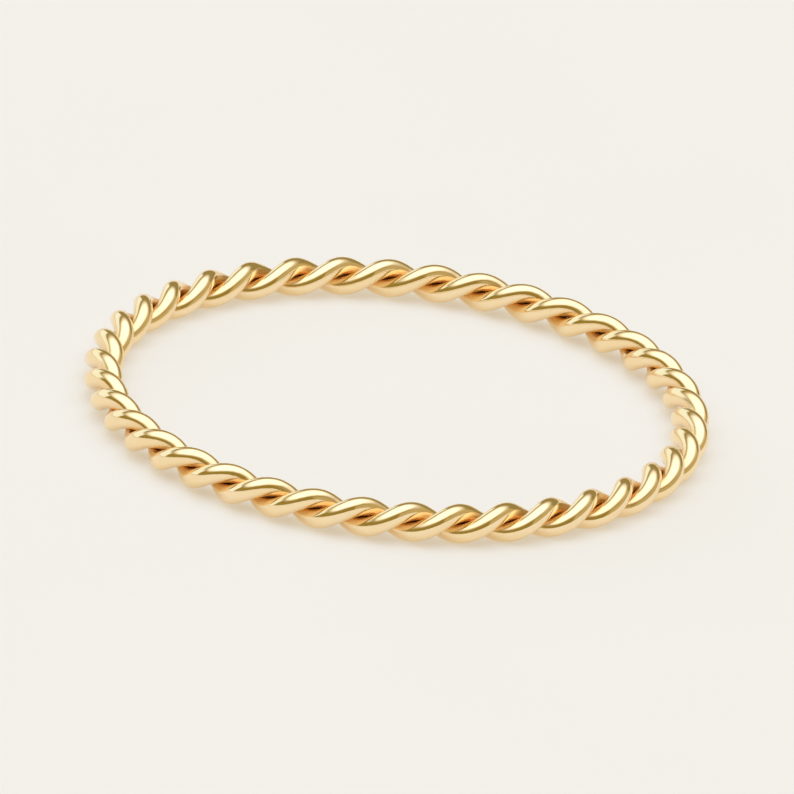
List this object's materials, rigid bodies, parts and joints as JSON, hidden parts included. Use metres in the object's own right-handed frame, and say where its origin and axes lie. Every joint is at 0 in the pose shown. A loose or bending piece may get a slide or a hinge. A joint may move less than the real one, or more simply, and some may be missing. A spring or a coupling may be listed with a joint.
{
  "type": "stackable ring",
  "caption": "Thin gold finger ring of round wires twisted into a rope and closed into a hoop, worn alone or stacked beside other bands.",
  "frame": {"origin": "centre of the finger hole, on the plane of the lowest crests of the twist, where the ring lies on its side", "axes": "+Z along the finger hole, up from the side that the ring lies on; +X and +Y across the hoop, with the first wire's place in its lay measured from +X"},
  "size_m": [0.0196, 0.0198, 0.0012],
  "materials": {
    "gold": "polished"
  },
  "bodies": {
    "root": {"twisted_band": "gold"}
  },
  "joints": []
}
